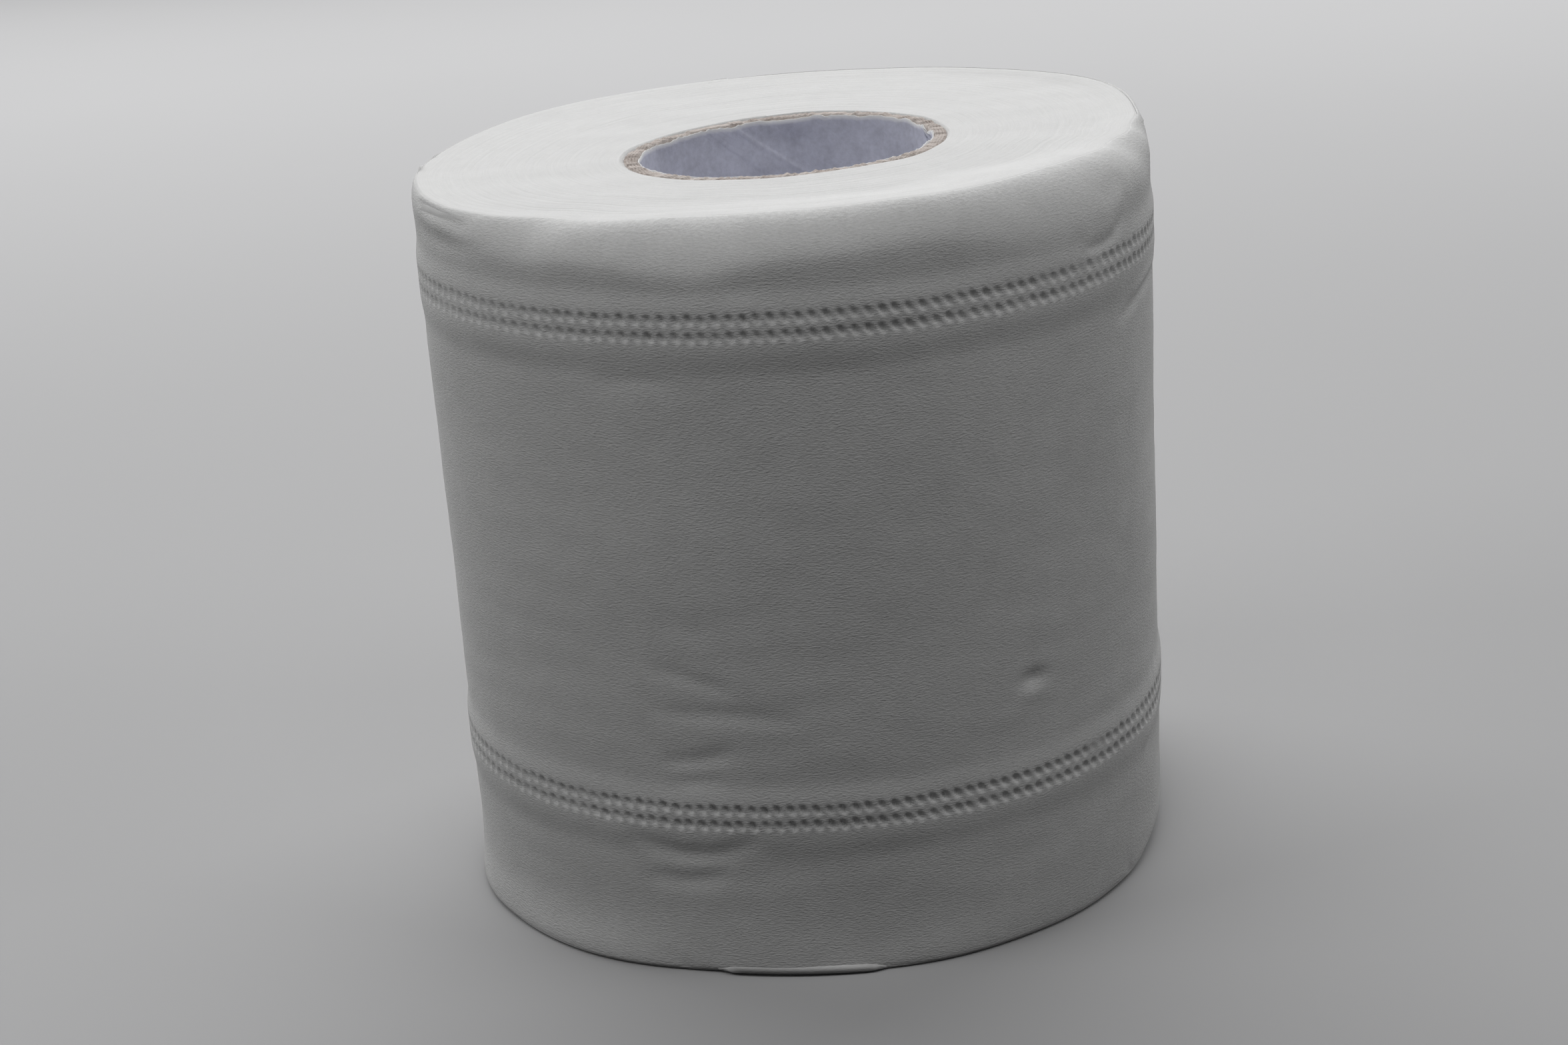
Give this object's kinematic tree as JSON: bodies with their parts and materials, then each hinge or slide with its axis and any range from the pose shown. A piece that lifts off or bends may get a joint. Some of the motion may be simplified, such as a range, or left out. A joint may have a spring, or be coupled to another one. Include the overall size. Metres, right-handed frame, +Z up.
{
  "type": "toilet paper roll",
  "caption": "Wound roll of white tissue on a paper-lined cardboard core, with embossed bands of slanted dents round its side.",
  "frame": {"origin": "on the roll's axis, at the bottom end that it stands on", "axes": "+Z up along the roll's axis, -Y towards the side that the picture shows; the sheet's loose end is at the back"},
  "size_m": [0.1021, 0.1018, 0.104],
  "materials": {
    "tissue": "soft matt tissue",
    "core_board": "rough cut grey-brown board",
    "core_lining_paper": "matt white paper"
  },
  "bodies": {
    "root": {"paper_roll": "tissue", "core_tube": "core_board", "core_lining": "core_lining_paper"}
  },
  "joints": []
}
